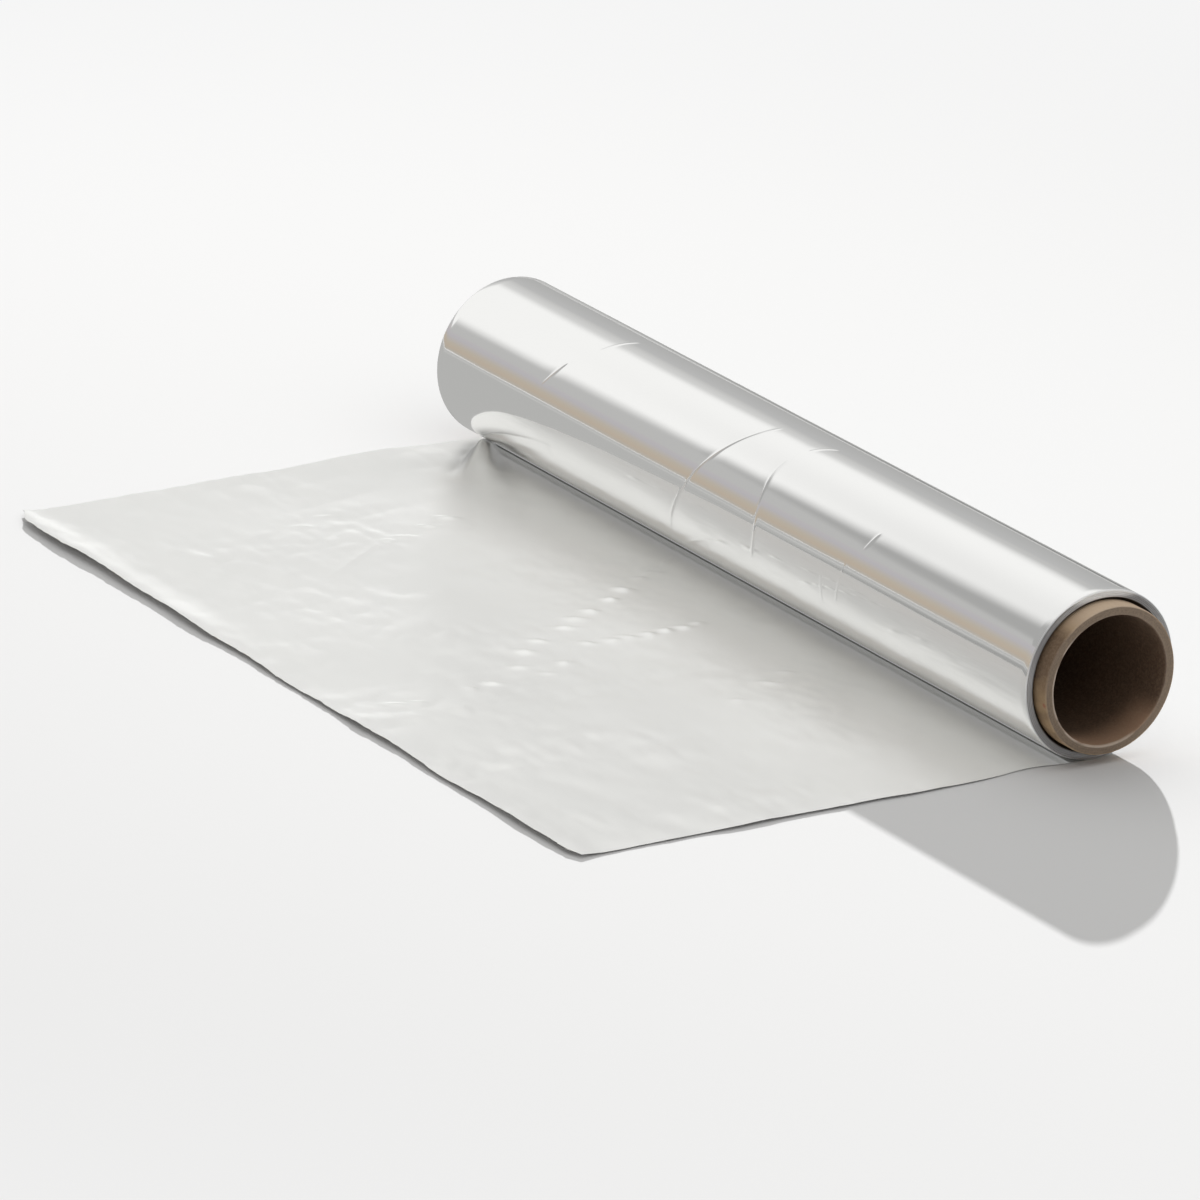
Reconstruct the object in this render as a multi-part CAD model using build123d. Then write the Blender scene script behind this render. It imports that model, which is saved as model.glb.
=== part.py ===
import os
from math import cos, exp, pi, radians, sin, sqrt

from build123d import *

# A roll of household aluminium foil on its cardboard tube, lying on its side with a length drawn out.
# X runs along the roll, the foil is drawn out towards -Y and +Z is up.
# The origin lies on the axis of the tube's bore, halfway along the width of the foil.

# Cardboard tube
bore_diameter = 37.0
tube_wall = 2.7
tube_near_reach = 5.0
tube_far_reach = 3.0
tube_edge_break = 0.35

# Foil
foil_width = 300.0
winding_depth = 3.0
winding_clearance = 0.05
drawn_length = 166.5

# The drawn-out foil is made this thick, far more than the real 0.016, to be a sturdy solid
sheet_thickness = 0.25
nip_tail = 6.0

# Turns that show on the ends of the winding
turn_pitch = 0.45
turn_gap = 0.12
turn_depth = 0.3
turn_edge = 0.2

# Creases round the winding
crease_width = 0.5
crease_height = 0.18

# Soft ripples of the drawn-out foil
ripple_height = 0.45
ripple_length = 78.0
ripple_skew = 260.0
settle_length = 55.0

# The torn front edge, which curls up a little, the most at its far third
tear_depth = 0.5
tear_length = 70.0
tear_share = 1.7
lip_length = 16.0
lip_lift_far = 1.5
lip_lift_near = 0.55
lip_turn_share = 0.6

# The far edge rises a little a short way in front of the roll, and the far front corner is torn off
edge_lift = 1.2
edge_lift_width = 13.0
edge_lift_middle = 41.0
edge_lift_reach = 20.0
corner_cut = 4.0
corner_length = 9.0

# The pinched fold, a tent that fans out from where the far edge leaves the roll
pinch_inset = 2.0
pinch_length = 42.0
pinch_height = 2.6
pinch_width = 9.5
pinch_turn = 46

# Stations of the fold, as shares of its length, height and width: how far along, how high the crest,
# how wide towards the far edge and how wide towards the roll
pinch_station_shares = [
    (0, 0.23, 0.09, 0.09),
    (0.33, 1, 0.38, 0.31),
    (0.62, 0.88, 0.44, 0.6),
    (1, 0.06, 0.52, 1),
]

# The grid that the surface of the drawn-out foil is drawn through, closer towards the far edge
grid_columns = 42
grid_rows = 22
grid_crowding = 1.25

surface_tolerance = 0.01
overrun = 1.0

bore_radius = bore_diameter / 2
tube_radius = bore_radius + tube_wall
winding_inner = tube_radius + winding_clearance
winding_radius = winding_inner + winding_depth
floor_level = -winding_radius
half_width = foil_width / 2

# Each crease: place along the half width, angles from the foot of the winding over the front,
# and how far it leans along the roll for each millimetre forwards and upwards
creases = [
    {"place_share": -0.086, "middle": 115, "half_span": 54, "lean_front": -0.373, "lean_up": 0.543},
    {"place_share": 0.098, "middle": 111, "half_span": 36, "lean_front": 0, "lean_up": 0},
    {"place_share": 0.148, "middle": 172, "half_span": 9, "lean_front": -0.86, "lean_up": 0},
    {"place_share": -0.705, "middle": 127, "half_span": 12, "lean_front": 0, "lean_up": 0.78},
    {"place_share": -0.55, "middle": 170, "half_span": 12, "lean_front": -0.41, "lean_up": 0},
    {"place_share": 0.4, "middle": 128, "half_span": 8, "lean_front": 0, "lean_up": 0.5},
    {"place_share": 0.342, "middle": 81, "half_span": 12, "lean_front": 0, "lean_up": 0},
    {"place_share": 0.385, "middle": 86, "half_span": 11, "lean_front": 0, "lean_up": 0},
]


def ease(share):
    inside = min(max(share, 0), 1)
    return inside * inside * (3 - 2 * inside)


def make_core():
    length = tube_far_reach + foil_width + tube_near_reach
    middle = (tube_near_reach - tube_far_reach) / 2
    tube = extrude(
        Plane.YZ.offset(middle) * (Circle(tube_radius) - Circle(bore_radius)), amount=length / 2, both=True
    )
    rims = [edge for edge in tube.edges() if edge.geom_type == GeomType.CIRCLE]
    return chamfer(rims, tube_edge_break)


def winding_section():
    sheet_top = floor_level + sheet_thickness
    notch = sqrt(winding_radius**2 - sheet_top**2)
    foot = Polyline(
        (0, floor_level), (-nip_tail, floor_level), (-nip_tail, sheet_top), (-notch, sheet_top)
    )
    turn = ThreePointArc((-notch, sheet_top), (0, winding_radius), (0, floor_level))
    return Plane.YZ * (make_face(foot + turn) - Circle(winding_inner))


def half_turn(radius, number):
    # Even ones climb the back of the winding, odd ones come down its front, each from its own centre
    start = radius - turn_pitch * number / 2
    end = start - turn_pitch / 2
    side = 1 if number % 2 == 0 else -1
    return ThreePointArc(
        (0, -side * start), (side * (start + end) / 2, side * (end - start) / 2), (0, side * end)
    )


def turn_groove():
    outside = winding_radius - turn_pitch
    depth = outside - turn_gap - winding_inner - turn_edge
    numbers = range(int(2 * depth / turn_pitch))
    outer = [half_turn(outside, number) for number in numbers]
    inner = [half_turn(outside - turn_gap, number) for number in numbers]
    start = Line(outer[0] @ 0, inner[0] @ 0)
    end = Line(outer[-1] @ 1, inner[-1] @ 1)
    return make_face([*outer, *inner, start, end])


def crease_ridge(crease):
    # A thin slice of a disc that comes up out of the winding and dies away at both its ends
    crest = winding_radius + crease_height
    spread = cos(radians(crease["half_span"]))
    shift = (crest**2 - winding_radius**2) / (2 * (crest - winding_radius * spread))
    middle = radians(crease["middle"])
    disc = extrude(
        Plane.YZ * Pos(-shift * sin(middle), -shift * cos(middle)) * Circle(crest - shift),
        amount=half_width,
        both=True,
    )
    root = extrude(Plane.YZ * Circle(winding_radius - winding_depth / 2), amount=half_width, both=True)
    slope = Vector(1, crease["lean_front"], -crease["lean_up"])
    place = crease["place_share"] * half_width
    cut = Plane(origin=(place, 0, 0), x_dir=(0, 0, 1), z_dir=slope)
    slab = extrude(cut * Rectangle(foil_width, foil_width), amount=crease_width / 2, both=True)
    return (disc & slab) - root


def make_winding():
    winding = extrude(winding_section(), amount=half_width, both=True)
    groove = turn_groove()
    for side in (1, -1):
        floor = Plane.YZ.offset(side * (half_width - turn_depth))
        winding -= extrude(floor * groove, amount=side * (turn_depth + overrun))
    for crease in creases:
        winding += crease_ridge(crease)
    return winding


def torn_edge(across):
    turn = 2 * pi * across / tear_length
    corner = corner_cut * (1 - ease((across + half_width) / corner_length))
    return drawn_length - corner + tear_depth * (sin(turn) + cos(turn * tear_share)) / 2


def hump(offset, reach):
    return exp(-((offset / reach) ** 2))


def sheet_height(across, out):
    free = ease((out - nip_tail) / settle_length)
    wave = sin(2 * pi * (across / ripple_length + out / ripple_skew))
    ripple = ripple_height * free * (1 + wave) / 2
    near_share = ease((across + half_width) / (foil_width * lip_turn_share))
    lift = lip_lift_far + (lip_lift_near - lip_lift_far) * near_share
    lip = lift * ease((out - drawn_length + lip_length) / lip_length) ** 2
    edge = hump(across + half_width, edge_lift_width) * hump(out - edge_lift_middle, edge_lift_reach)
    return ripple + lip + edge_lift * free * edge


def grid_line(across):
    line = []
    for row in range(grid_rows + 1):
        out = nip_tail + (torn_edge(across) - nip_tail) * row / grid_rows
        line.append(Vector(across, -out, floor_level + sheet_height(across, out)))
    return line


def make_sheet():
    shares = [column / grid_columns for column in range(grid_columns + 1)]
    grid = [grid_line(half_width * (2 * share**grid_crowding - 1)) for share in shares]
    underside = Face.make_surface_from_array_of_points(grid, tol=surface_tolerance)
    return Solid.extrude(underside, Vector(0, 0, sheet_thickness))


def lifted(place, height):
    return Vector(place.X, place.Y, floor_level + sheet_height(place.X, -place.Y) + height)


def pinch_section(along_share, height_share, far_share, near_share, drop):
    turn = radians(pinch_turn)
    along, aside = Vector(sin(turn), -cos(turn)), Vector(cos(turn), sin(turn))
    middle = Vector(pinch_inset - half_width, -nip_tail) + along * (pinch_length * along_share)
    far_foot = middle - aside * (pinch_width * far_share)
    near_foot = middle + aside * (pinch_width * near_share)
    foot, crest = sheet_thickness / 2 - drop, sheet_thickness + pinch_height * height_share - drop
    return Wire.make_polygon([lifted(far_foot, foot), lifted(middle, crest), lifted(near_foot, foot)])


def make_pinch(drop):
    return Solid.make_loft([pinch_section(*shares, drop) for shares in pinch_station_shares], ruled=True)


def make_foil():
    # The fold is as thin as the sheet: one tent is added and the same tent, one thickness lower, cut out
    folded = make_sheet() + make_pinch(0) - make_pinch(sheet_thickness)
    return make_winding() + folded


os.makedirs("parts", exist_ok=True)
export_step(make_core(), "parts/cardboard_core.step")
export_step(make_foil(), "parts/foil.step")
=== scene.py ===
import math

import bpy
import numpy as np
from mathutils import Matrix, Vector


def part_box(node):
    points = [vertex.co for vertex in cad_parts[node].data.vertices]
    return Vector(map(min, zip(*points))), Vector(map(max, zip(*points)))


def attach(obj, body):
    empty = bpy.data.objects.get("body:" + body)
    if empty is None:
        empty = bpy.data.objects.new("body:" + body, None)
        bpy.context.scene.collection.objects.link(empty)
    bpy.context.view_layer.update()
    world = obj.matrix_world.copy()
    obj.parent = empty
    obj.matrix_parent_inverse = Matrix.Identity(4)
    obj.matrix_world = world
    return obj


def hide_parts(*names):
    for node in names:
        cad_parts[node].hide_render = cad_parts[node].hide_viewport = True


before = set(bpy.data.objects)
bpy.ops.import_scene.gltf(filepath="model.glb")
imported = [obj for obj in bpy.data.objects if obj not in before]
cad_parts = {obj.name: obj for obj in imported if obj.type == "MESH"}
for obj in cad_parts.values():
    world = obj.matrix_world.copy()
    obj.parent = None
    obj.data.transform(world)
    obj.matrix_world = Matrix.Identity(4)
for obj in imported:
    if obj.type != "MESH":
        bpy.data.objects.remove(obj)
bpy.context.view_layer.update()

# Everything below is in millimetres until a mesh, lamp or camera is made, and then in metres
mm = 0.001
coreLow, coreHigh = (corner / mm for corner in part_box("cardboard_core"))
foilLow, foilHigh = (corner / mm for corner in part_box("foil"))
tubeRadius = coreHigh.z
halfWidth = foilHigh.x

roll = {
    "depth": 3.05,          # wound foil over the tube, with the hair of clearance under it
    "steps": 360,           # steps round the roll
    "columnStep": 2.4,
    "creaseOffsets": (0.09, 0.22, 0.42, 0.8, 1.5),
    "creaseReach": 0.2,     # how wide a crease's crest is
    "creaseSharp": 1.3,
    "creaseEnds": 3,        # the larger, the more suddenly a crease starts and ends
    "pull": 0.16,           # how much the foil beside a crease is pulled down
    "pullPlace": 1.0, "pullReach": 0.7,
    "edgeRound": 0.4,
    "turnPitch": 0.45,      # coarser than the real turns, so that they can be seen
    "turnStart": 0.12,      # how far inside the rounded edge the first turn lies
    "turnGroove": [(0, 0), (0.03, 0.2), (0.09, 0.22), (0.13, 0.03), (0.28, 0)],     # how far in and deep
    "coreGap": 0.8,         # the first turns on the tube lie a little deeper than the rest
    "coreDip": 0.9,
    "clearance": 0.05,
    "endWobble": 0.02, "wobbleIn": 6, "wobbleRound": 30, "wobbleLength": 20,
    "waveHeight": 0.014,
    "waveLength": 46, "waveStretch": 3,     # longer along the roll than round it
}
rollRadius = tubeRadius + roll["depth"]
floorLevel = -rollRadius


class Wire:
    # One output socket, and arithmetic on it adds Math nodes

    def __init__(self, board, socket):
        self.board, self.socket = board, socket

    def maths(self, operation, *values):
        return self.board.node("Math", {"operation": operation}, dict(enumerate(values)))

    def __add__(self, other):
        return self.maths("ADD", self, other)

    def __radd__(self, other):
        return self.maths("ADD", other, self)

    def __sub__(self, other):
        return self.maths("SUBTRACT", self, other)

    def __rsub__(self, other):
        return self.maths("SUBTRACT", other, self)

    def __mul__(self, other):
        return self.maths("MULTIPLY", self, other)

    def __rmul__(self, other):
        return self.maths("MULTIPLY", other, self)

    def __truediv__(self, other):
        return self.maths("DIVIDE", self, other)


class Board:
    # The node tree of a material or of the world

    def __init__(self, owner):
        owner.use_nodes = True
        self.tree = owner.node_tree
        self.tree.nodes.clear()

    def node(self, kind, settings=None, sockets=None, out=0):
        made = self.tree.nodes.new("ShaderNode" + kind)
        for name, value in (settings or {}).items():
            if name == "stops":
                for place, colour in value[2:]:
                    made.color_ramp.elements.new(place)
                for element, (place, colour) in zip(made.color_ramp.elements, value):
                    element.position, element.color = place, (*colour, 1)
            else:
                setattr(made, name, value)
        for name, value in (sockets or {}).items():
            if isinstance(value, Wire):
                self.tree.links.new(value.socket, made.inputs[name])
            else:
                made.inputs[name].default_value = value
        return Wire(self, made.outputs[out]) if len(made.outputs) else None

    def mixColour(self, share, first, second):
        first, second = (c if isinstance(c, Wire) else (*c, 1) for c in (first, second))
        return self.node("Mix", {"data_type": "RGBA"}, {0: share, 6: first, 7: second}, out=2)

    def smooth(self, value, start, end):
        return self.node("MapRange", {"interpolation_type": "SMOOTHSTEP"}, {0: value, 1: start, 2: end})

    def between(self, value, start, end):
        # 1 between two places, each a pair from where to where it changes
        return self.smooth(value, *start) * (1 - self.smooth(value, *end))

    def place(self, scale):
        # Where a point is, in millimetres, times a scale along each axis
        spot = self.node("TexCoord", out="Object")
        return self.node("VectorMath", {"operation": "MULTIPLY"}, {0: spot, 1: [s / mm for s in scale]})

    def axes(self, scale=(1, 1, 1)):
        coords = self.place(scale)
        return [self.node("SeparateXYZ", None, {0: coords}, out=axis) for axis in "XYZ"]

    def noise(self, scale, detail=3, roughness=0.5):
        return self.node("TexNoise", None, {"Vector": self.place(scale), "Scale": 1, "Detail": detail,
                                            "Roughness": roughness})

    def bump(self, height):
        # height is in millimetres
        return self.node("Bump", None, {"Height": height, "Distance": mm, "Strength": 1})


def newFinish(name):
    material = bpy.data.materials.new(name)
    return material, Board(material)


def show(board, shader):
    board.node("OutputMaterial", None, {"Surface": shader})


def showGlow(board, level, colour):
    tone = board.mixColour(level, (0, 0, 0), colour)
    show(board, board.node("Emission", None, {"Color": tone, "Strength": 1}))


def ease(share):
    inside = np.clip(share, 0, 1)
    return inside * inside * (3 - 2 * inside)


def hump(offset, width):
    return np.exp(-(offset / width) ** 2)


def waves(x, y, length, seed, count=7):
    # Soft random swell between about -1 and 1, the same on each run
    dice = np.random.default_rng(seed)
    total = 0
    for wave in range(count):
        turn, start = dice.uniform(0, 2 * math.pi, 2)
        pace = 2 * math.pi / (length * dice.uniform(0.7, 1.5))
        total = total + np.sin(pace * (x * math.cos(turn) + y * math.sin(turn)) + start)
    return total / math.sqrt(count) / 1.2


def newPiece(name, points, faces, finishes, finishOf=None, flatFrom=None):
    mesh = bpy.data.meshes.new(name)
    mesh.from_pydata((np.asarray(points) * mm).tolist(), [], faces)
    piece = bpy.data.objects.new(name, mesh)
    bpy.context.scene.collection.objects.link(piece)
    for finish in finishes:
        mesh.materials.append(finish)
    if finishOf is not None:
        mesh.polygons.foreach_set("material_index", np.asarray(finishOf, np.int32))
    mesh.polygons.foreach_set("use_smooth", np.arange(len(faces)) < (flatFrom or len(faces)))
    mesh.update()
    if flatFrom:
        sharp = {key for face in mesh.polygons[flatFrom:] for key in face.edge_keys}
        mesh.edges.foreach_set("use_edge_sharp", [edge.key in sharp for edge in mesh.edges])
    return piece


# Camera: the place and lens that the outlines in the photograph fit

camera = {
    "eye": (2215.3, -1530.5, 935.9),
    "azimuth": 56.477,
    "elevation": 19.733,
    "roll": 2.5285,
    "lens": 304.3,
}


def makeCamera():
    data = bpy.data.cameras.new("camera")
    data.lens, data.sensor_width = camera["lens"], 36
    eye = bpy.data.objects.new("camera", data)
    bpy.context.scene.collection.objects.link(eye)
    azimuth, elevation = math.radians(camera["azimuth"]), math.radians(camera["elevation"])
    back = Vector((math.sin(azimuth) * math.cos(elevation), -math.cos(azimuth) * math.cos(elevation),
                   math.sin(elevation)))
    right = Vector((math.cos(azimuth), math.sin(azimuth), 0))
    turn = Matrix((right, back.cross(right), back)).transposed() @ Matrix.Rotation(
        math.radians(camera["roll"]), 3, "Z")
    eye.matrix_world = Matrix.Translation(Vector(camera["eye"]) * mm) @ turn.to_4x4()
    bpy.context.scene.camera = eye


# Foil: bright on its outer side, matt on its inner side

foil = {
    "metal": (0.96, 0.96, 0.955),
    "brightRoughness": 0.075, "brightSpread": 0.06,
    "mattMetal": (0.96, 0.962, 0.944),
    "mattRoughness": 0.37, "mattSpread": 0.12,
    "mattShare": 0.85,      # how much of the matt side shines as metal, the rest is a dull white
    "foldShade": 0.62,
    "endRoughness": 0.24, "endSpread": 0.2,
    "endDark": (0.36, 0.365, 0.38),
    "endLight": (0.72, 0.725, 0.74),
    # Painted shade on the turns next to the tube, and how far from the tube it fades
    "paintedGapShade": (0.12, 0.11, 0.1), "gapShadeReach": (0.6, 1.2),
    "paintedHighlightFrom": (20.5, 22.8), "paintedHighlightDull": 0.85,    # from where the ends get a painted highlight in dull white, and how dull
    "endTurns": 9, "turnHeight": 0.05,          # how closely the turns lie, and their bump
    "endRagged": (2, 2, 2), "raggedHeight": 0.01,
}

# Patterns in the foil: how often they repeat in a millimetre along each axis, how fine they get, and the
# height of their bump
foilPatterns = {
    "streaks": ((1 / 90, 1 / 1.1, 1 / 1.1), 4, 0.5, 0.0035),
    "swell": ((1 / 38, 1 / 9, 1 / 9), 2, 0.5, 0.03),
    "brightGrain": ((1.6, 1.6, 1.6), 2, 0.5, 0.0004),
    "mattGrain": ((1.2, 1.2, 1.2), 3, 0.5, 0.004),
    "rub": ((1 / 30, 1 / 9, 1 / 9), 4, 0.6, 0.05),
    "rollingLines": ((3, 1 / 30, 1 / 30), 2, 0.5, 0.0015),      # from the mill, straight out of the roll
}


def foilRelief(board, *names):
    # The first pattern, and the bump of all of them
    made = [board.noise(*foilPatterns[name][:3]) for name in names]
    height = sum(pattern * foilPatterns[name][3] for name, pattern in zip(names, made))
    return made[0], board.bump(height)


def brightFoil():
    material, board = newFinish("brightFoil")
    streaks, normal = foilRelief(board, "streaks", "swell", "brightGrain")
    roughness = foil["brightRoughness"] + (streaks - 0.5) * foil["brightSpread"]
    shader = board.node("BsdfPrincipled", None, {
        "Base Color": (*foil["metal"], 1), "Metallic": 1, "Roughness": roughness, "Normal": normal})
    show(board, shader)
    return material


def mattFoil():
    material, board = newFinish("mattFoil")
    rub, normal = foilRelief(board, "rub", "mattGrain", "rollingLines")
    roughness = foil["mattRoughness"] + (rub - 0.5) * foil["mattSpread"]
    x, y, z = board.axes()
    aside, ahead = x + (halfWidth - pinch["inset"]), -sheet["nipTail"] - y
    turn = math.radians(pinch["turn"])
    along = aside * math.sin(turn) + ahead * math.cos(turn)
    off = aside * math.cos(turn) - ahead * math.sin(turn)
    # Painted shade: the base colour is darker in the valley beside the pinched fold
    valley = board.between(off, *pinch["valleyAcross"]) * board.between(along, *pinch["valleyAlong"])
    shaded = [part * foil["foldShade"] for part in foil["mattMetal"]]
    tone = board.mixColour(valley, foil["mattMetal"], shaded)
    shader = board.node("BsdfPrincipled", None, {
        "Base Color": tone, "Metallic": foil["mattShare"], "Roughness": roughness, "Normal": normal})
    show(board, shader)
    return material


def foilEdges():
    # The ends of the winding, where the edges of some two hundred turns lie side by side
    material, board = newFinish("foilEdges")
    x, y, z = board.axes()
    radius = board.node("Math", {"operation": "SQRT"}, {0: y * y + z * z})
    turns = board.node("TexNoise", {"noise_dimensions": "1D"}, {
        "W": radius, "Scale": foil["endTurns"], "Detail": 3})
    ragged = board.noise(foil["endRagged"], 3)
    normal = board.bump(turns * foil["turnHeight"] + ragged * foil["raggedHeight"])
    tone = board.mixColour(turns, foil["endDark"], foil["endLight"])
    rim = board.smooth(radius, rollRadius - roll["edgeRound"], rollRadius)
    tone = board.mixColour(rim, tone, foil["metal"])
    # The topmost edges get a painted highlight: dull white where they would catch the light
    top = board.smooth(z, *foil["paintedHighlightFrom"])
    tone = board.mixColour(top, tone, foil["metal"])
    # Painted shade darkens the turns next to the tube, which stands proud of them
    gap = 1 - board.smooth(radius, *(tubeRadius + reach for reach in foil["gapShadeReach"]))
    tone = board.mixColour(gap, tone, foil["paintedGapShade"])
    shader = board.node("BsdfPrincipled", None, {
        "Base Color": tone, "Metallic": 1 - top * foil["paintedHighlightDull"], "Normal": normal,
        "Roughness": foil["endRoughness"] + ragged * foil["endSpread"]})
    show(board, shader)
    return material


# Wound roll: each crease runs through points of angle, counted from the foot over the front, and place
# along the roll, and stands up between the angles of its spans, by the height that each span gives

creases = [
    {"path": [(116, -97.2), (127, -94.2), (137, -92)], "spans": [(116, 137, 0.17)]},
    {"path": [(157, -86.4), (184, -81.8)], "spans": [(157, 184, 0.13)]},
    {"path": [(58, -27.6), (90, -21.9), (120, -14.2), (150, -6), (172, -1.1)],
     "spans": [(58, 172, 0.2)]},
    {"path": [(70, 14.7), (149, 14.7), (166, 17.2), (180, 22.2)],
     "spans": [(74, 128, 0.13), (126, 150, 0.16), (165, 180, 0.11)]},
    {"path": [(69, 51), (93, 51)], "spans": [(69, 93, 0.06)]},
    {"path": [(76, 58), (105, 61)], "spans": [(76, 96, 0.07), (99, 107, 0.06)]},
    {"path": [(120, 66.2), (135, 68.7)], "spans": [(120, 135, 0.13)]},
]


def creaseLine(crease, degrees):
    # Where a crease runs at each angle, held still past its two ends
    angles, places = zip(*crease["path"])
    curve = np.polyfit(angles, places, min(3, len(angles) - 1))
    return np.polyval(curve, np.clip(degrees, angles[0], angles[-1]))


def columnPlaces():
    # Columns across the roll: one line of them on each crease and finer ones beside it
    places = set()
    for crease in creases:
        middle = creaseMiddle(crease)
        offsets = [side * offset for side in (-1, 1) for offset in roll["creaseOffsets"]]
        places |= {middle} | {middle + offset for offset in offsets}
    edge = halfWidth - roll["edgeRound"]
    knots = [-edge] + sorted(places) + [edge]
    filled = []
    for left, right in zip(knots, knots[1:]):
        count = max(1, round((right - left) / roll["columnStep"]))
        filled += [left + (right - left) * step / count for step in range(count)]
    return np.array(filled + [edge])


def creaseMiddle(crease):
    places = [place for angle, place in crease["path"]]
    return (min(places) + max(places)) / 2


def leanOf(places, degrees):
    # How far each column is shifted so that the lines of columns follow the creases
    knots = [-halfWidth] + [creaseMiddle(crease) for crease in creases] + [halfWidth]
    shifts = [0 * degrees] + [creaseLine(crease, degrees) - creaseMiddle(crease) for crease in creases]
    shifts = np.array(shifts + [0 * degrees])
    return np.array([np.interp(places, knots, shifts[:, step]) for step in range(len(degrees))]).T


def endLines(angle):
    # Radius and place of each line on an end: the outer edge is rounded, the turns show as a spiral of
    # fine grooves, and the first turns lie deeper
    edgeRound, coreDip = roll["edgeRound"], roll["coreDip"]
    innerRadius = tubeRadius + roll["clearance"]
    deepest = innerRadius + roll["coreGap"]
    bevel = edgeRound * 0.3
    lines = [(rollRadius - bevel, halfWidth - bevel), (rollRadius - edgeRound, halfWidth)]
    spiral = angle / (2 * math.pi) * roll["turnPitch"]
    for turn in range(int((rollRadius - innerRadius - edgeRound - roll["coreGap"]) / roll["turnPitch"])):
        start = rollRadius - edgeRound - roll["turnStart"] - turn * roll["turnPitch"]
        lines += [(np.maximum(start - inward - spiral, deepest), halfWidth - dip)
                  for inward, dip in roll["turnGroove"]]
    lines += [(deepest, halfWidth - 0.02), (deepest - 0.1, halfWidth - coreDip),
              (innerRadius, halfWidth - coreDip)]
    return [(np.full(len(angle), r), np.full(len(angle), h)) for r, h in lines]


def makeWinding(finishes):
    steps = roll["steps"]
    angle = np.arange(steps) * 2 * math.pi / steps
    y, z = -np.sin(angle) * rollRadius, -np.cos(angle) * rollRadius
    degrees = np.degrees(angle)
    places = columnPlaces()
    x = places[:, None] + leanOf(places, degrees)
    raised = np.zeros_like(x)
    for crease in creases:
        off = np.abs(places - creaseMiddle(crease))[:, None]
        for start, end, height in crease["spans"]:
            share = 1 - np.abs(degrees - (start + end) / 2) / ((end - start) / 2)
            body = height * ease(share * roll["creaseEnds"]) ** 0.5
            raised += body * np.exp(-(off / roll["creaseReach"]) ** roll["creaseSharp"])
            raised -= body * roll["pull"] * hump(off - roll["pullPlace"], roll["pullReach"])
    arc = angle * rollRadius
    raised += roll["waveHeight"] * waves(x, arc * roll["waveStretch"], roll["waveLength"], 11)
    radius = rollRadius + raised
    rings = [np.stack([x[c], y / rollRadius * radius[c], z / rollRadius * radius[c]], -1)
             for c in range(len(places))]
    skin = len(rings) - 1

    points = np.concatenate(rings)
    faces, finishOf = [], []
    nextStep = np.roll(np.arange(steps), -1)
    for c in range(skin):
        a, b = c * steps, (c + 1) * steps
        for s in range(steps):
            faces.append((a + s, b + s, b + nextStep[s], a + nextStep[s]))
            finishOf.append(0)

    lines = endLines(angle)
    inner = {}
    for side, ring in ((1, skin), (-1, 0)):
        last = [ring * steps + s for s in range(steps)]
        for r, h in lines:
            base = len(points)
            wobble = waves(r * roll["wobbleIn"], angle * roll["wobbleRound"], roll["wobbleLength"], 5)
            x = side * (h + roll["endWobble"] * wobble * (r < rollRadius - 0.3))
            points = np.concatenate([points, np.stack([x, -np.sin(angle) * r, -np.cos(angle) * r], -1)])
            here = list(range(base, base + steps))
            for s in range(steps):
                t = nextStep[s]
                quad = (last[s], here[s], here[t], last[t])
                faces.append(quad if side == 1 else quad[::-1])
                finishOf.append(1)
            last = here
        inner[side] = last
    for s in range(steps):
        t = nextStep[s]
        faces.append((inner[1][s], inner[-1][s], inner[-1][t], inner[1][t]))
        finishOf.append(1)
    piece = newPiece("wound_foil", points, faces, finishes, finishOf)
    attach(piece, "root")
    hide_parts("foil")
    print("wound foil:", len(piece.data.polygons), "faces")


# Drawn-out foil

sheet = {
    "thickness": 0.06,
    "lift": 0.25,           # how far its upper side lies above the floor
    "length": 166.5,
    "fineTo": 92, "fineStep": 0.68, "coarseStep": 2.2, "rowStep": 0.76,
    "under": 3,             # the underside has a third of the lines
    "rippleHeight": 0.45, "rippleLength": 78, "rippleSkew": 260, "nipTail": 6, "settle": 55,
    "rise": 3,              # how much sooner it leaves the floor than its ripples reach their height
    "tearDepth": 0.5, "tearLength": 70, "tearShare": 1.7,
    "ragged": 0.12, "raggedLength": 3.1,
    "farCorner": (4, 9), "nearCorner": (2, 5),      # how deep and how long each front corner is cut off
    "lipLength": 16, "liftFar": 1.5, "liftDrop": 1.1, "dropFrom": -57, "dropLength": 30,
    "liftMore": 0.25, "moreFrom": 5, "moreLength": 40,
    "edgeLift": 1.2, "edgeWidth": 13, "edgeMiddle": 41, "edgeReach": 20,
    "nearBends": [(-1.6, 21, 9), (0.9, 58, 16)],    # bends of the near edge: how far, middle, reach
    "nearWave": 0.25, "nearWaveLength": 23, "nearReach": 12,
    "fineFrom": 4, "fineReach": 18,     # all that is fine starts this far from the roll's foot
    "least": 0.004,         # the underside stays this far above the floor
}

# The pinched fold, a tent whose stations say how far along, how high its crest stands and how wide it
# is towards the far edge and towards the roll
pinch = {
    "inset": 2,
    "turn": 46,             # degrees from straight out of the roll
    "bow": 1.2,
    "stations": [(0, 0.7, 0.9, 1.2), (6, 1.9, 1.2, 2.8), (11, 2.9, 1.6, 4.2), (19, 2, 1.8, 6),
                 (30, 1, 2.6, 8.5), (42, 0.08, 4.5, 11)],
    "start": 3,
    "foot": 0.3,            # how much of its height runs out softly towards the far edge
    "flat": 0.7,            # how much of its side towards the roll is nearly flat
    "flatSlope": 0.25, "runOut": 0.8,
    # Painted shade darkens the foil in the valley beside it: places across, where it starts and ends, and
    # along
    "valleyAcross": [(-8.5, -2.5), (-1.6, 0.2)],
    "valleyAlong": [(1, 9), (20, 38)],
}

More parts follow.
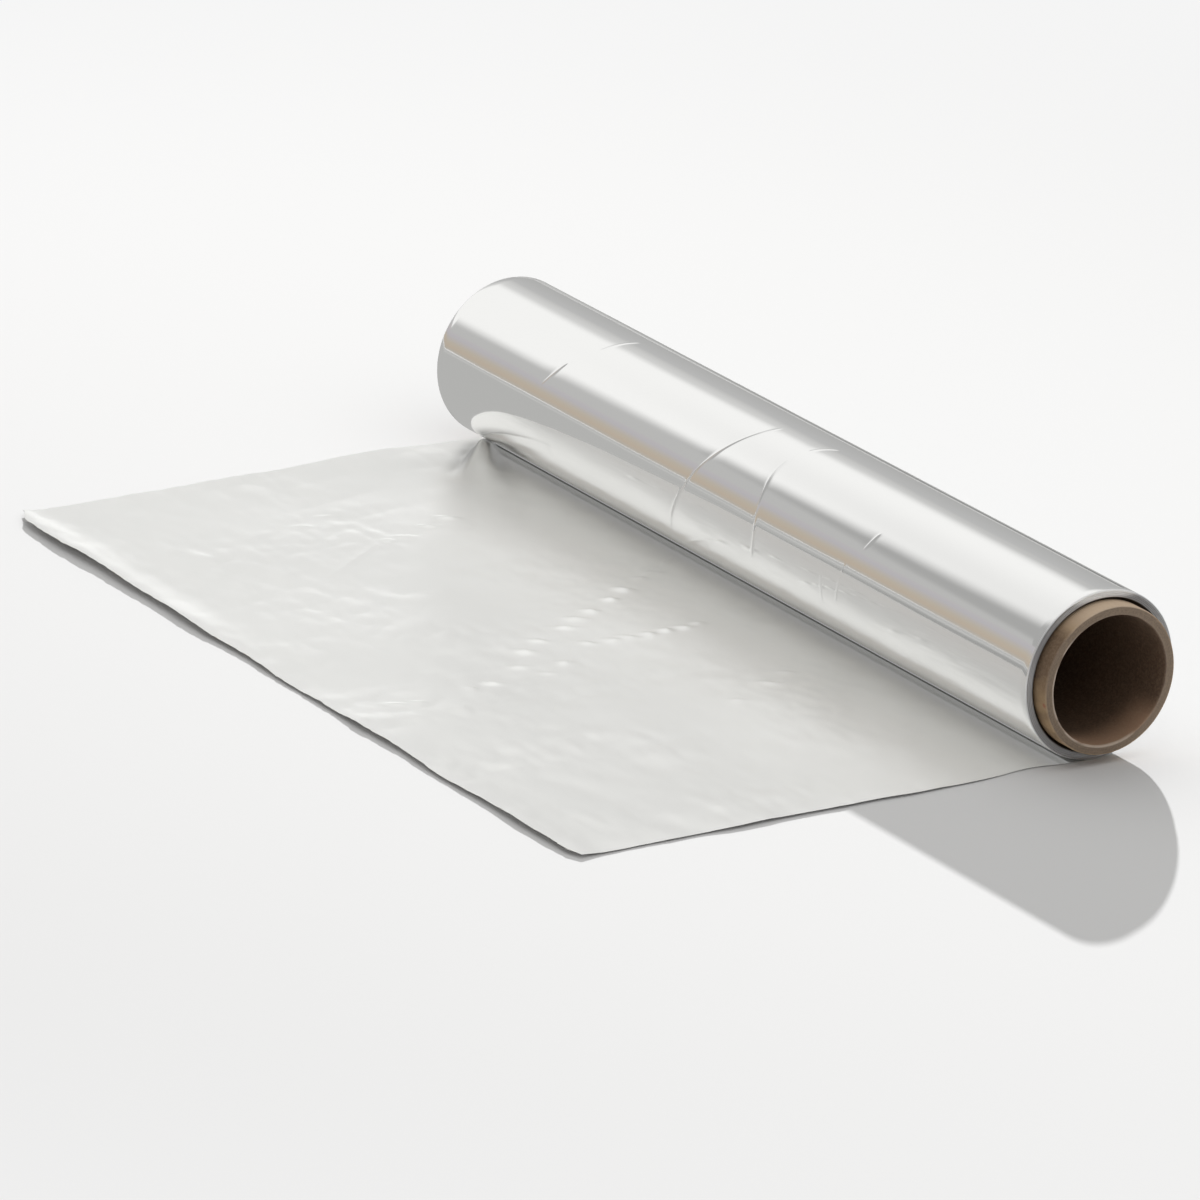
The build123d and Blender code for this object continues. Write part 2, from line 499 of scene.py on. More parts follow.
# Rows of small dents where the creases were wound over, each x, y and how deep
dentRows = {
    "long": [(-27.7, -26.4, 0.4), (-25.2, -32.7, 0.8), (-19.5, -41.8, 1.3), (-14.2, -49.8, 1.5),
             (-8.5, -60.5, 1.1), (-4.6, -67.6, 1.1), (0.1, -74.5, 1.3), (5.9, -86.5, 1), (11, -94.3, 1.1),
             (20.4, -102.2, 0.9), (27.9, -97.8, 0.6), (27.9, -115.6, 1.1), (29.5, -123.1, 0.9),
             (32.4, -141.9, 0.9), (30.9, -148.4, 0.8)],
    "short": [(13.2, -38.6, 0.9), (14.2, -43.9, 1), (14, -49.8, 1.1), (14.7, -55.8, 1.1),
              (14.3, -62.2, 0.9), (14.3, -67.5, 0.9), (13.3, -75.1, 1), (23.3, -89.3, 1)],
    "far": [(-93.4, -54.8, 1), (-89.1, -63.5, 1), (-84.2, -74.9, 0.9), (-83.3, -80.8, 0.7)],
    "faint": [(-105, -96.2, 0.7), (-110, -86, 0.5), (57, -38, 0.7), (62, -47, 0.6), (70, -63, 0.5)],
}
dent = {
    "height": 0.52, "long": 2.4, "front": 2.1, "back": 0.65, "turn": 58,
    "turnSpread": 12, "longSpread": (0.7, 1.3), "wideSpread": (0.75, 1.3),
}

# Crumpled patches: middle, reach, height and number of the random pattern
patches = [(30, -122, 22, 0.06, 31), (66, -44, 20, 0.06, 32), (-92, -96, 22, 0.055, 33),
           (-16, -50, 18, 0.05, 34), (132, -135, 20, 0.05, 35), (-60, -140, 26, 0.03, 36)]
patchStretch, patchLength = 1.1, 7      # how much longer than wide they are, and their waves' length

# Unevenness all over: height, length of the waves and number of the random pattern
swells = [(0.05, 42, 21), (0.02, 17, 22)]
grains = [(0.012, 6, 42), (0.03, 13, 43)]
facets = [(0.07, 24, 44), (0.035, 11, 45)]

# Grains and facets are stronger in some places, and grow towards the torn edge
stronger = {"length": 60, "least": 0.5, "more": 1.2, "from": 55, "reach": 50}

# Long soft folds: from, to, half width, height
folds = [
    ((-42, -5), (-25, -33), 0.9, 0.2),
    ((-84, -82), (-65, -111), 1.3, 0.16),
    ((25, -92), (150, -110), 7, 0.22),
    ((-150, -78), (-78, -100), 8, -0.2),
    ((100, -139), (150, -129), 5, -0.25),
    ((-29, -152), (38, -158), 5, 0.22),
    ((-142, -148), (-65, -151), 5, -0.2),
    ((-60, -95), (-35, -60), 6, 0.15),
    ((55, -18), (105, -48), 9, -0.3),
]
foldFade = {"wide": 2.5, "long": 0.12}      # each end fades over so many widths, or this share of it


def tornEdge(x):
    turn = 2 * math.pi * x / sheet["tearLength"]
    edge = sheet["length"] + sheet["tearDepth"] * (np.sin(turn) + np.cos(turn * sheet["tearShare"])) / 2
    (farCut, farLength), (nearCut, nearLength) = sheet["farCorner"], sheet["nearCorner"]
    corner = farCut * (1 - ease((x + halfWidth) / farLength))
    corner = corner + nearCut * (1 - ease((halfWidth - x) / nearLength))
    return edge - corner + sheet["ragged"] * waves(x, x * 0, sheet["raggedLength"], 4)


def sheetHeight(x, out):
    # The same soft form as the solid, in millimetres above the floor
    free = ease((out - sheet["nipTail"]) / sheet["settle"])
    ripple = sheet["rippleHeight"] * free * (
        1 + np.sin(2 * math.pi * (x / sheet["rippleLength"] + out / sheet["rippleSkew"]))) / 2
    lift = (sheet["liftFar"] - sheet["liftDrop"] * ease((x - sheet["dropFrom"]) / sheet["dropLength"])
            + sheet["liftMore"] * ease((x - sheet["moreFrom"]) / sheet["moreLength"]))
    lip = lift * ease((out - sheet["length"] + sheet["lipLength"]) / sheet["lipLength"]) ** 2
    edge = hump(x + halfWidth, sheet["edgeWidth"]) * hump(out - sheet["edgeMiddle"], sheet["edgeReach"])
    return ripple + lip + sheet["edgeLift"] * free * edge + pinchHeight(x, out)


def pinchHeight(x, out):
    turn = math.radians(pinch["turn"])
    aside, ahead = x + halfWidth - pinch["inset"], out - sheet["nipTail"]
    along = aside * math.sin(turn) + ahead * math.cos(turn)
    off = aside * math.cos(turn) - ahead * math.sin(turn)
    places, crests, farWidths, nearWidths = zip(*pinch["stations"])
    bend = np.clip(along / places[-1], 0, 1)
    off = off + 4 * pinch["bow"] * bend * (1 - bend)
    crest = np.interp(along, places, crests, left=0, right=0) * ease(along / pinch["start"] + 1)
    farShare = -off / np.interp(along, places, farWidths)
    nearShare = off / np.interp(along, places, nearWidths)
    # It drops steeply towards the far edge, and on the other side first slopes and then runs out
    foot = pinch["foot"]
    steep = np.where(farShare < 1 - foot, 1 - farShare, foot * np.exp((1 - foot - farShare) / foot))
    gentle = 1 - ease((nearShare - pinch["flat"]) / pinch["runOut"])
    gentle = gentle * (1 - pinch["flatSlope"] * nearShare)
    return crest * np.where(off < 0, steep, gentle)


def segmentHump(x, y, start, end, width, height):
    start, end = np.array(start, float), np.array(end, float)
    way = end - start
    length = np.hypot(*way)
    along = ((x - start[0]) * way[0] + (y - start[1]) * way[1]) / length
    off = ((x - start[0]) * way[1] - (y - start[1]) * way[0]) / length
    fade = max(width * foldFade["wide"], length * foldFade["long"])
    ends = ease(along / fade + 0.5) * ease((length - along) / fade + 0.5)
    return height * ends * hump(off, width)


def fineHeight(x, y):
    total = sum(height * waves(x, y, length, seed) for height, length, seed in swells)
    for start, end, width, height in folds:
        total = total + segmentHump(x, y, start, end, width, height)
    dice = np.random.default_rng(7)
    for row in dentRows.values():
        for cx, cy, deep in row:
            turn = math.radians(dent["turn"] + dice.uniform(-dent["turnSpread"], dent["turnSpread"]))
            along = (x - cx) * math.cos(turn) + (y - cy) * math.sin(turn)
            off = -(x - cx) * math.sin(turn) + (y - cy) * math.cos(turn)
            long = dent["long"] * dice.uniform(*dent["longSpread"])
            wide = np.where(off < 0, dent["front"], dent["back"]) * dice.uniform(*dent["wideSpread"])
            total = total + dent["height"] * deep * np.exp(-(along / long) ** 2 - (off / wide) ** 2)
    for cx, cy, reach, height, seed in patches:
        patch = np.exp(-((x - cx) / reach) ** 2 - ((y - cy) / (reach * patchStretch)) ** 2)
        total = total + height * patch * waves(x, y, patchLength, seed, 9)
    uneven = stronger["least"] + ease(0.5 + waves(x, y, stronger["length"], 41) / 2)
    uneven = uneven * (1 + stronger["more"] * ease((-y - stronger["from"]) / stronger["reach"]))
    fine = sum(height * waves(x, y, length, seed, 9) for height, length, seed in grains)
    crisp = sum(height * np.abs(waves(x, y, length, seed)) for height, length, seed in facets)
    return total + uneven * (fine + crisp)


def sheetLines():
    def fill(start, end, step):
        count = max(1, round((end - start) / step))
        return [start + (end - start) * i / count for i in range(count)]

    xs = (fill(-halfWidth, sheet["fineTo"], sheet["fineStep"])
          + fill(sheet["fineTo"], halfWidth, sheet["coarseStep"]) + [halfWidth])
    rows = round(sheet["length"] / sheet["rowStep"])
    rows -= rows % sheet["under"]
    spare = (len(xs) - 1) % sheet["under"]
    for i in range(spare):
        del xs[1 + i * 2]
    return np.array(xs), np.arange(rows + 1) / rows


def makeSheet(finishes):
    xs, shares = sheetLines()
    columns, rows = len(xs), len(shares)
    x = np.repeat(xs[:, None], rows, 1)
    out = tornEdge(x) * shares[None, :]
    y = -out
    free = ease(out / sheet["settle"] * sheet["rise"])
    thickness, least = sheet["thickness"], sheet["least"]
    top = sheetHeight(x, out) + thickness + (sheet["lift"] - thickness) * free
    fine = fineHeight(x, y) * ease((out - sheet["fineFrom"]) / sheet["fineReach"])
    top = np.maximum(top + fine, thickness + 0.01)
    # The near edge isn't quite straight
    near = ease((x - halfWidth + sheet["nearReach"]) / sheet["nearReach"])
    bends = sum(height * hump(out - middle, reach) for height, middle, reach in sheet["nearBends"])
    x = x + near * (bends + sheet["nearWave"] * waves(out, out * 0, sheet["nearWaveLength"], 9))
    # The underside has fewer lines, and keeps below the lowest part of the upper side near each point
    under = sheet["under"]
    lowColumns, lowRows = (columns - 1) // under + 1, (rows - 1) // under + 1
    padded = np.pad(top, under, mode="edge")
    lowest = np.min([padded[i:i + columns, j:j + rows] for i in range(0, 2 * under + 1)
                     for j in range(0, 2 * under + 1)], 0)
    low = np.maximum(lowest[::under, ::under] - thickness, least)
    edge = np.zeros_like(low, bool)
    edge[0, :] = edge[-1, :] = edge[:, 0] = edge[:, -1] = True
    low = np.where(edge, np.maximum(top[::under, ::under] - thickness, least), low)
    upper = np.stack([x, y, floorLevel + top], -1).reshape(-1, 3)
    lower = np.stack([x[::under, ::under], y[::under, ::under], floorLevel + low], -1).reshape(-1, 3)
    points = np.concatenate([upper, lower])

    def up(c, r):
        return c * rows + r

    def down(c, r):
        return columns * rows + c * lowRows + r

    faces = [(up(c, r), up(c, r + 1), up(c + 1, r + 1), up(c + 1, r))
             for c in range(columns - 1) for r in range(rows - 1)]
    finishOf = [0] * len(faces)
    faces += [(down(c, r), down(c + 1, r), down(c + 1, r + 1), down(c, r + 1))
              for c in range(lowColumns - 1) for r in range(lowRows - 1)]
    # The cut edges: each short face below meets several above
    cutEdges = len(faces)
    for c in range(lowColumns - 1):
        tops = [up(c * under + i, 0) for i in range(under + 1)]
        faces.append((*tops, down(c + 1, 0), down(c, 0)))
        tops = [up(c * under + i, rows - 1) for i in range(under, -1, -1)]
        faces.append((*tops, down(c, lowRows - 1), down(c + 1, lowRows - 1)))
    for r in range(lowRows - 1):
        tops = [up(0, r * under + i) for i in range(under, -1, -1)]
        faces.append((*tops, down(0, r), down(0, r + 1)))
        tops = [up(columns - 1, r * under + i) for i in range(under + 1)]
        faces.append((*tops, down(lowColumns - 1, r + 1), down(lowColumns - 1, r)))
    finishOf += [1] * (len(faces) - len(finishOf))
    piece = newPiece("drawn_foil", points, faces, finishes, finishOf, cutEdges)
    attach(piece, "root")
    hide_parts("foil")
    print("drawn-out foil:", len(piece.data.polygons), "faces")
    return piece


# Cardboard tube

tube = {
    "steps": 240, "lengthSteps": 80, "faceSteps": 12,
    "wall": 2.7,
    "break": 0.35,          # how far its edges are rounded
    "endRough": 0.05, "boreRough": 0.03,
    "roughness": 0.62, "roughSpread": 0.3,
    "fibre": (0.5, 0.37, 0.25), "fibreShare": 0.22, "fibreSeen": (0.35, 0.75), "fibreHeight": 0.05,
    "plyDark": (0.125, 0.09, 0.062),
    "plyLight": (0.25, 0.185, 0.13), "plies": 3.2, "plyHeight": 0.06,
    "skinDark": (0.15, 0.095, 0.055),
    "skinLight": (0.37, 0.25, 0.135), "lightSeen": (0.3, 0.7), "lightShare": 0.6, "lightLeast": 0.4,
    # Heights between which the skin gets painted shade, and how far round the front
    "shadeUp": [(-6, 5), (11, 18)], "shadeFront": (-12, 0), "shadeShare": 0.75,
    # The skin's painted highlight on top, and the heights over which it comes in
    "paintedSkinHighlight": (0.64, 0.49, 0.35), "skinHighlightFrom": (14, 21),
    # Painted shade deep in the bore, and painted light on the lower part of its mouth
    "paintedBoreShade": (0.11, 0.064, 0.038),
    "paintedMouthLight": (0.36, 0.22, 0.14),
    "mouthReach": (-14, -3), "mouthHeight": (-14, -7),      # where the painted light at the mouth ends
    # Where skin and bore meet the end face
    "skinEdge": (-0.5, -0.1), "boreEdge": (0.05, 0.4),
    # Both rims: how far from the edge, and how far from the mouth
    "fray": (0.62, 0.52, 0.43),
    "innerRim": (0.35, 0.8), "innerReach": (-0.9, -0.3),
    "outerRim": (-0.55, -0.25), "outerReach": (-0.7, -0.2), "outerShare": 0.12,
    "frayAcross": 0.8, "frayUp": 0.6, "frayFrom": (-8, 2), "frayMost": 0.6, "frayLeast": 0.08,
    "fraySeen": (0.3, 0.5),
    "nick": (0.3, 0.09, 0.05), "nickShare": 0.7, "nickSize": (0.1, 0.9), "nickNarrow": 4,
    "nickPlace": 154, "nickAngle": 78.7,    # along the tube, and from its foot over the front
}

# Patterns in the cardboard: how often they repeat in a millimetre along each axis, and how fine they get
tubePatterns = {
    "fibres": ((1.4, 1.4, 1.4), 5, 0.65),
    "mottle": ((1 / 7, 1 / 7, 1 / 7), 3, 0.5),
    "stain": ((1 / 13, 1 / 5, 1 / 5), 3, 0.5),
}


def cardboard():
    material, board = newFinish("cardboard")
    x, y, z = board.axes()
    fromMouth = x - coreHigh.x
    radius = board.node("Math", {"operation": "SQRT"}, {0: y * y + z * z})
    fromSkin, fromBore = radius - tubeRadius, radius - (tubeRadius - tube["wall"])
    fibres, mottle, stain = (board.noise(*pattern) for pattern in tubePatterns.values())
    plies = board.node("TexNoise", {"noise_dimensions": "1D"}, {
        "W": radius, "Scale": tube["plies"], "Detail": 2})
    endFace = board.mixColour(plies, tube["plyDark"], tube["plyLight"])
    # Painted shade makes the skin darkest at the upper front, and a painted highlight makes it palest on
    # top; the stains are its own
    shade = board.between(z, *tube["shadeUp"]) * (1 - board.smooth(y, *tube["shadeFront"]))
    light = board.smooth(stain, *tube["lightSeen"]) * tube["lightShare"] + tube["lightLeast"]
    light = board.smooth(light - shade * tube["shadeShare"], 0, 1)
    skin = board.mixColour(light, tube["skinDark"], tube["skinLight"])
    # The painted highlight on top
    skin = board.mixColour(board.smooth(z, *tube["skinHighlightFrom"]), skin, tube["paintedSkinHighlight"])
    # Painted light on the lower part of the mouth, painted shade deeper in the bore
    mouth = board.smooth(fromMouth, *tube["mouthReach"]) * (1 - board.smooth(z, *tube["mouthHeight"]))
    bore = board.mixColour(mouth, tube["paintedBoreShade"], tube["paintedMouthLight"])
    tone = board.mixColour(board.smooth(fromSkin, *tube["skinEdge"]), endFace, skin)
    tone = board.mixColour(1 - board.smooth(fromBore, *tube["boreEdge"]), tone, bore)
    # Both rims are rubbed pale, the inner one most at the lower front, where its paper frays
    innerRim = 1 - board.smooth(fromBore, *tube["innerRim"])
    innerRim = innerRim * board.smooth(fromMouth, *tube["innerReach"])
    frayed = 1 - board.smooth(y * tube["frayAcross"] + z * tube["frayUp"], *tube["frayFrom"])
    frayed = frayed * tube["frayMost"] + tube["frayLeast"]
    frayed = innerRim * frayed * board.smooth(mottle, *tube["fraySeen"])
    tone = board.mixColour(frayed, tone, tube["fray"])
    outerRim = board.smooth(fromSkin, *tube["outerRim"]) * board.smooth(fromMouth, *tube["outerReach"])
    tone = board.mixColour(outerRim * tube["outerShare"], tone, tube["fray"])
    # A small reddish nick on the front
    turn = math.radians(tube["nickAngle"])
    along, across = x - tube["nickPlace"], y + tubeRadius * math.sin(turn)
    upward = z + tubeRadius * math.cos(turn)
    away = along * along + across * across * tube["nickNarrow"] + upward * upward
    nick = 1 - board.smooth(away, *tube["nickSize"])
    tone = board.mixColour(nick * tube["nickShare"], tone, tube["nick"])
    seen = board.smooth(fibres, *tube["fibreSeen"]) * tube["fibreShare"]
    tone = board.mixColour(seen, tone, tube["fibre"])
    normal = board.bump(fibres * tube["fibreHeight"] + plies * tube["plyHeight"])
    shader = board.node("BsdfPrincipled", None, {
        "Base Color": tone, "Roughness": tube["roughness"] + fibres * tube["roughSpread"],
        "Normal": normal})
    show(board, shader)
    return material


def makeTube(finish):
    steps = tube["steps"]
    angle = np.arange(steps) * 2 * math.pi / steps
    inner = tubeRadius - tube["wall"]
    edge = tube["break"]
    bevel = edge * 0.3
    nearX, farX = coreHigh.x, coreLow.x
    reach = np.linspace(farX + edge, nearX - edge, tube["lengthSteps"])
    face = np.linspace(tubeRadius - edge, inner + edge, tube["faceSteps"])
    # Round the wall: along its outside, over the near end, back through the bore, over the far end
    outline = [(x, tubeRadius, 0) for x in reach]
    outline += [(nearX - bevel, tubeRadius - bevel, 0)] + [(nearX, r, 1) for r in face]
    outline += [(nearX - bevel, inner + bevel, 0)] + [(x, inner, 0) for x in reach[::-1]]
    outline += [(farX + bevel, inner + bevel, 0)] + [(farX, r, 1) for r in face[::-1]]
    outline += [(farX + bevel, tubeRadius - bevel, 0)]
    rings = []
    for x, r, isEnd in outline:
        side = 1 if x > 0 else -1
        lag, fray = 0, 0
        if isEnd:
            lag = -tube["endRough"] * (1 + waves(r * 9, angle * 25, 9, 13))
        elif abs(r - inner) < edge:
            fray = tube["boreRough"] * waves(angle * 60, x + angle * 0, 14, 3)
        rings.append(np.stack([np.full(steps, x) + side * lag, -np.sin(angle) * (r + fray),
                               -np.cos(angle) * (r + fray)], -1))
    points = np.concatenate(rings)
    faces = []
    total = len(rings)
    for ring in range(total):
        a, b = ring * steps, (ring + 1) % total * steps
        for s in range(steps):
            t = (s + 1) % steps
            faces.append((a + s, b + s, b + t, a + t))
    piece = newPiece("paper_tube", points, faces, [finish])
    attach(piece, "root")
    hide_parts("cardboard_core")
    print("paper tube:", len(piece.data.polygons), "faces")


# Studio: a pale floor, grey walls all round, a soft box over the roll, cards and strips that only the
# foil shows, and lamps that each light one thing. The low lamp lies in the mirrored line of sight, so
# that the roll's shadow falls on the floor where a mirror image would

studio = {
    "white": 0.913,         # backdrop
    "floorSize": 9000,
    "floorDrop": 0.03,
    "floorTone": 0.85,      # its tone for the light that it throws back
    "floorSeen": 0.76,      # its tone in the picture, where it is lit near the roll
    "floorGlow": 0.913,     # and further off, where it glows
    "floorFade": (300, 700),
    "nipGlow": [(-8, 0.27), (-11, 0.3)],    # place and level of each strip
    "nipRoom": (0.05, 0.15),                # what it leaves free of the floor and of the roll
    "nipStart": 4,                          # how far from the far edge it begins
    "wallLevel": 0.49,
    "wallAway": 2500, "wallLong": 1.6,      # how far off, and how much longer to each side
    "wallDim": 0.3, "dimReach": (300, 2500),        # the walls are dimmer beyond the near end
    "lamp": 5.0,
    "lampSpread": 0.9,
    "foilLamp": 1.05,
    "foilLampSize": 420,
    "foilLampPlace": (-1110, 520, 690),
    "lampAim": (-80, -120),
    "lipLamp": 0.4,         # low down, so that it shows most where the torn edge curls up
    "lipLampSize": 420,
    "lipLampPlace": (-1200, 690, 110),
}

# Colour of the walls by the angle round the roll's own direction: 0 is the front, 90 up, 180 the back
wallStops = [
    (0, (0.45, 0.42, 0.375)), (5, (0.49, 0.415, 0.335)), (11, (0.485, 0.435, 0.365)),
    (19, (0.47, 0.455, 0.475)), (30, (0.515, 0.492, 0.485)), (37, (0.5, 0.5, 0.5)),
    (60, (0.6, 0.6, 0.6)), (120, (0.6, 0.6, 0.6)), (140, (0.5, 0.5, 0.5)),
    (160, (0.46, 0.46, 0.455)), (180, (0.43, 0.43, 0.425)),
]


def pictured(board):
    # Whether a ray comes from the camera, or shows the backdrop in metal or glass
    kinds = ("Is Camera Ray", "Is Glossy Ray", "Is Transmission Ray")
    ways = [board.node("LightPath", out=kind) for kind in kinds]
    first = board.node("Math", {"operation": "MAXIMUM"}, {0: ways[0], 1: ways[1]})
    return board.node("Math", {"operation": "MAXIMUM"}, {0: first, 1: ways[2]})


def makeWorld():
    world = bpy.data.worlds.new("studio")
    bpy.context.scene.world = world
    board = Board(world)
    white = board.node("Background", None, {"Color": (1, 1, 1, 1), "Strength": studio["white"]})
    grey = board.node("Background", None, {"Color": (1, 1, 1, 1), "Strength": studio["wallLevel"]})
    both = board.node("MixShader", None, {0: pictured(board), 1: grey, 2: white})
    board.node("OutputWorld", None, {"Surface": both})


def makeWalls():
    # A long half round of grey card over everything, which the camera doesn't see
    material, board = newFinish("walls")
    x, y, z = board.axes()
    angle = board.node("Math", {"operation": "ARCTAN2"}, {0: z, 1: 0 - y})
    stops = [(place / 180, colour) for place, colour in wallStops]
    tone = board.node("ValToRGB", {"stops": stops}, {0: angle / math.pi})
    showGlow(board, 1 - board.smooth(x, *studio["dimReach"]) * studio["wallDim"], tone)
    away, steps = studio["wallAway"], 48
    turns = [math.pi * step / steps for step in range(steps + 1)]
    arc = [(-away * math.cos(turn), away * math.sin(turn)) for turn in turns]
    arc = [(arc[0][0], floorLevel)] + arc[1:-1] + [(arc[-1][0], floorLevel)]
    points = [(side * away * studio["wallLong"], py, pz) for side in (-1, 1) for py, pz in arc]
    faces = [(i, i + 1, steps + 2 + i, steps + 1 + i) for i in range(steps)]
    faces += [tuple(range(steps + 1)), tuple(range(steps + 1, 2 * steps + 2))]
    walls = newPiece("studio_walls", points, faces, [material])
    walls.visible_camera = walls.visible_shadow = False


# Soft box over the roll: a bright field with soft edges on grey. The front edge of the field runs
# slantwise, and its back edge differs at the far end. All places are shares of the height
softBox = {
    "height": 450,
    "level": 0.93,
    "colour": (1, 0.998, 0.985),
    "ends": (-4, 2, -2.2, 1.35),            # left, right, fore and rear
    "slant": 0.473,                         # how far the front edge runs back for each step to the right
    "slantPoint": (-1.284, -0.767),         # a point that it would pass through
    "straightFrom": -0.6,                   # and where it stops running back
    "front": (-0.522, -0.002), "frontScale": 1.3,
    "farEnd": (-1.6, -1.25),
    "farBack": [(0.43, 0.8, 0.65), (0.7, 1.5, 0.35)],
    "nearBack": (0.52, 1.13),
    "right": (0.9, 1.9),
    "greyDrop": 0.1, "greyLeft": (-2.1, -1.6), "greyFront": (-1, -0.3),     # where the grey is darker
    "dim": 0.1, "dimLeft": (-1.55, -0.9), "dimFront": (-0.4, 0.4),          # and the field dimmer
}


def makeSoftBox():
    material, board = newFinish("softBox")
    high = softBox["height"]
    x, y, z = board.axes((1 / high, 1 / high, 1))
    left, back = softBox["slantPoint"]
    slanted = (x - left) * softBox["slant"] + back
    edge = board.node("Math", {"operation": "MINIMUM"}, {0: slanted, 1: softBox["straightFrom"]})
    front = board.smooth(y * softBox["frontScale"] - edge, *softBox["front"])
    far = 1 - board.smooth(x, *softBox["farEnd"])
    farBack = sum(board.smooth(y, start, end) * share for start, end, share in softBox["farBack"])
    back = 1 - (far * farBack + (1 - far) * board.smooth(y, *softBox["nearBack"]))
    right = 1 - board.smooth(x, *softBox["right"])
    drop = board.smooth(x, *softBox["greyLeft"]) * (1 - board.smooth(y, *softBox["greyFront"]))
    grey = studio["wallLevel"] - softBox["greyDrop"] * drop
    dim = board.smooth(x, *softBox["dimLeft"]) * (1 - board.smooth(y, *softBox["dimFront"]))
    bright = softBox["level"] * (1 - softBox["dim"] * dim)
    showGlow(board, grey + (bright - grey) * (front * back * right), softBox["colour"])
    left, right, fore, rear = (share * high for share in softBox["ends"])
    corners = [(left, fore), (right, fore), (right, rear), (left, rear)]
    box = newPiece("soft_box", [(px, py, high) for px, py in corners], [(0, 1, 2, 3)], [material])
    box.visible_camera = box.visible_shadow = False


# Grey cards that lie on the floor round the drawn-out foil and behind the roll, and show in the foil
# alone. Each has a level of grey. Two have more towards the far end, from one distance from the roll's
# middle to another, and a stripe of another grey that runs along the roll
cards = {
    "colour": (1, 1, 0.98),
    "out": 1500,            # how far they reach
    "front": {"level": 0.34, "more": 0.12, "from": (130, 250),
              "stripe": [(-460, -430), (-380, -350)], "change": 0.14},
    "side": {"level": 0.46},
    "back": {"level": 0.45, "more": 0.31, "from": (330, 480),
             "stripe": [(110, 330), (3000, 3100)], "change": -0.25},
    "raise": 0.02,          # how far they lie above the floor
    "gap": 3,               # between the torn edge and the front card
    "roll": (25, 40),       # how far back the side card ends, and the back card starts
}


def makeCard(name, low, high):
    material, board = newFinish(name)
    card = cards[name]
    x, y, z = board.axes()
    grey = card["level"]
    if "stripe" in card:
        grey = grey + card["more"] * board.smooth(0 - x, *card["from"])
        grey = grey + card["change"] * board.between(y, *card["stripe"])
    showGlow(board, grey, cards["colour"])
    corners = [(low[0], low[1]), (high[0], low[1]), (high[0], high[1]), (low[0], high[1])]
    points = [(px, py, floorLevel + cards["raise"]) for px, py in corners]
    onlyInFoil(newPiece(name + "_card", points, [(0, 1, 2, 3)], [material]))


def onlyInFoil(thing):
    thing.visible_camera = thing.visible_shadow = False
    thing.visible_diffuse = thing.visible_transmission = False


def makeCards():
    front, side, out = -sheet["length"] - cards["gap"], -halfWidth - 1, cards["out"]
    sideEnd, backStart = cards["roll"]
    makeCard("front", (side - out, front - out), (halfWidth + out, front))
    makeCard("side", (side - out, front), (side, sideEnd))
    makeCard("back", (-out, backStart), (out, backStart + out))


def makeNipGlow():
    # Faint strips between roll and sheet stand in for the many reflections deep in the nip
    for number, (place, level) in enumerate(studio["nipGlow"]):
        material, board = newFinish("nipGlow")
        show(board, board.node("Emission", None, {"Color": (level, level, level, 1), "Strength": 1}))
        below, above = studio["nipRoom"]
        low, high = floorLevel + below, -math.sqrt((rollRadius - above) ** 2 - place ** 2)
        left, right = studio["nipStart"] - halfWidth, halfWidth
        corners = [(left, low), (right, low), (right, high), (left, high)]
        onlyInFoil(newPiece("nip_glow_" + str(number), [(px, place, pz) for px, pz in corners],
                            [(0, 1, 2, 3)], [material]))


def hang(name, kind, energy, towards, onlyOn):
    # A lamp that lights one thing alone
    lamp = bpy.data.objects.new(name, bpy.data.lights.new(name, kind))
    lamp.data.energy = energy
    lamp.rotation_mode = "QUATERNION"
    lamp.rotation_quaternion = Vector(towards).to_track_quat("Z", "Y")
    lamp.visible_camera = False
    bpy.context.scene.collection.objects.link(lamp)
    lit = bpy.data.collections.new("lit_by_" + name)
    lit.objects.link(onlyOn)
    lamp.light_linking.receiver_collection = lit
    return lamp


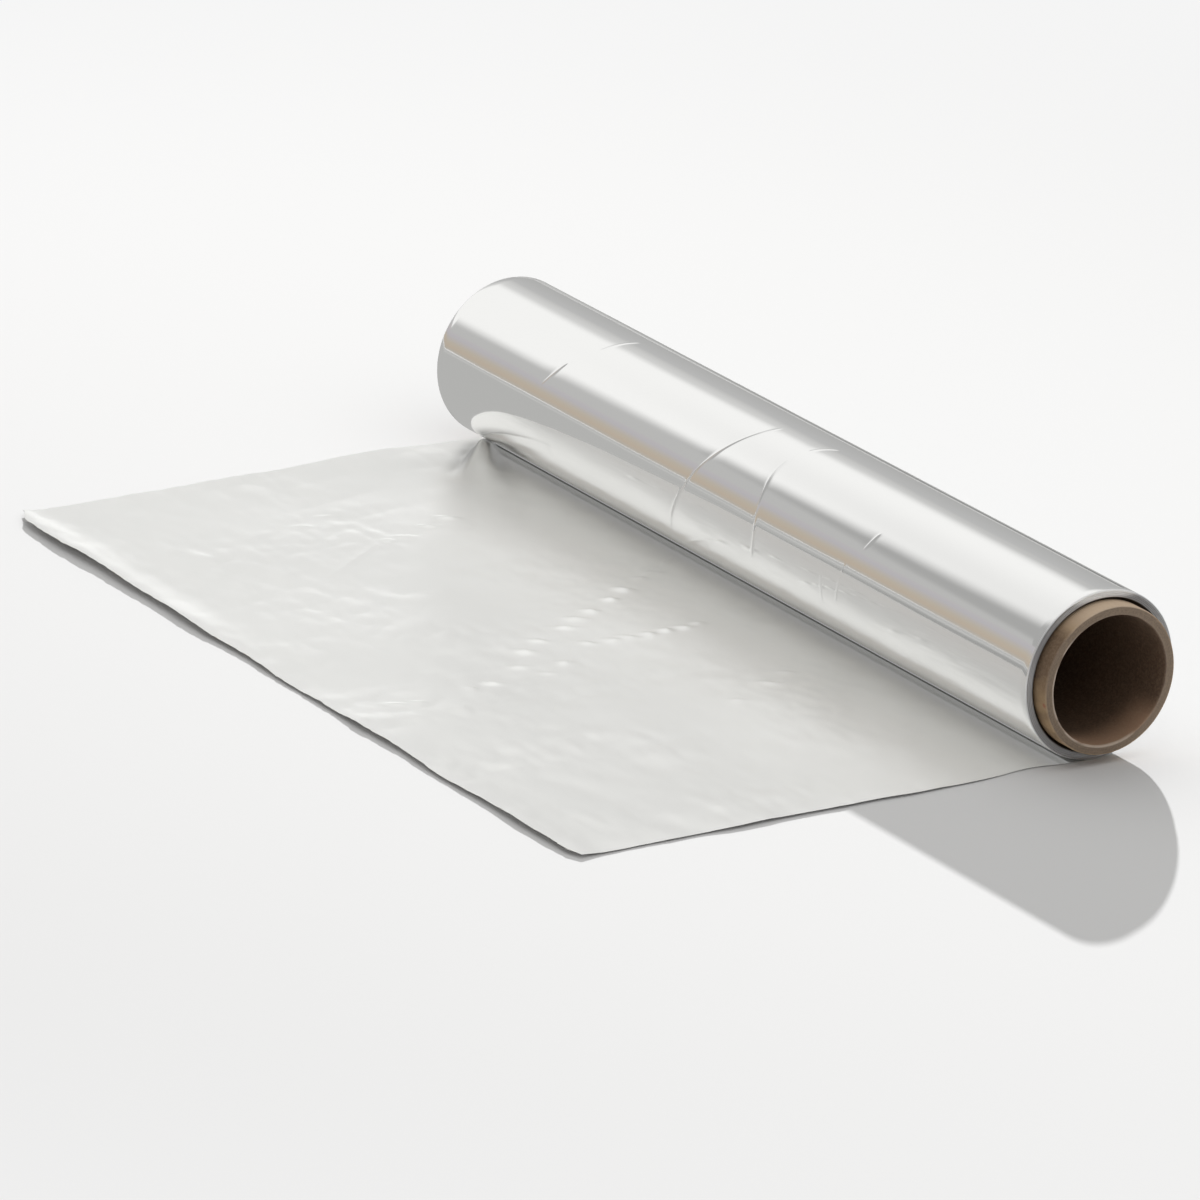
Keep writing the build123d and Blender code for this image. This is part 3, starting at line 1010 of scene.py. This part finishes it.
def makeLamps(floor, foilSheet):
    # The low lamp lights the floor alone, so that the roll throws no hard shadow on its own foil
    azimuth, elevation = math.radians(camera["azimuth"]), math.radians(camera["elevation"])
    source = (-math.sin(azimuth) * math.cos(elevation), math.cos(azimuth) * math.cos(elevation),
              math.sin(elevation))
    low = hang("low_lamp", "SUN", studio["lamp"], source, floor)
    low.data.angle = math.radians(studio["lampSpread"])
    low.visible_glossy = False
    # The other two light the drawn-out foil alone, from far behind the roll's far end: one gives its
    # matt side a sheen, and the other shows where the torn edge curls up
    for name in ("foil", "lip"):
        place = Vector(studio[name + "LampPlace"])
        aim = Vector((*studio["lampAim"], floorLevel))
        soft = hang(name + "_lamp", "AREA", studio[name + "Lamp"], place - aim, foilSheet)
        soft.location = place * mm
        soft.data.shape, soft.data.size = "DISK", studio[name + "LampSize"] * mm


def makeFloor():
    material, board = newFinish("floor")
    size, level = studio["floorSize"], floorLevel - studio["floorDrop"]
    tone, seen = studio["floorTone"], studio["floorSeen"]
    pale = board.node("BsdfDiffuse", None, {"Color": (tone, tone, tone, 1)})
    lit = board.node("BsdfDiffuse", None, {"Color": (seen, seen, seen, 1)})
    glow = board.node("Emission", None, {"Color": (1, 1, 1, 1), "Strength": studio["floorGlow"]})
    away = board.node("VectorMath", {"operation": "LENGTH"}, {0: board.place((1, 1, 0))}, out="Value")
    share = 1 - board.smooth(away, *studio["floorFade"])
    ground = board.node("MixShader", None, {0: share, 1: glow, 2: lit})
    show(board, board.node("MixShader", None, {0: pictured(board), 1: pale, 2: ground}))
    corners = [(-size, -size), (size, -size), (size, size), (-size, size)]
    floor = newPiece("floor", [(px, py, level) for px, py in corners], [(0, 1, 2, 3)], [material])
    return floor


makeCamera()
bright, matt, edges = brightFoil(), mattFoil(), foilEdges()
makeWinding([bright, edges])
foilSheet = makeSheet([matt, bright])
makeTube(cardboard())
makeWorld()
makeWalls()
makeSoftBox()
makeCards()
makeNipGlow()
makeLamps(makeFloor(), foilSheet)
bpy.context.scene.view_settings.view_transform = "Standard"
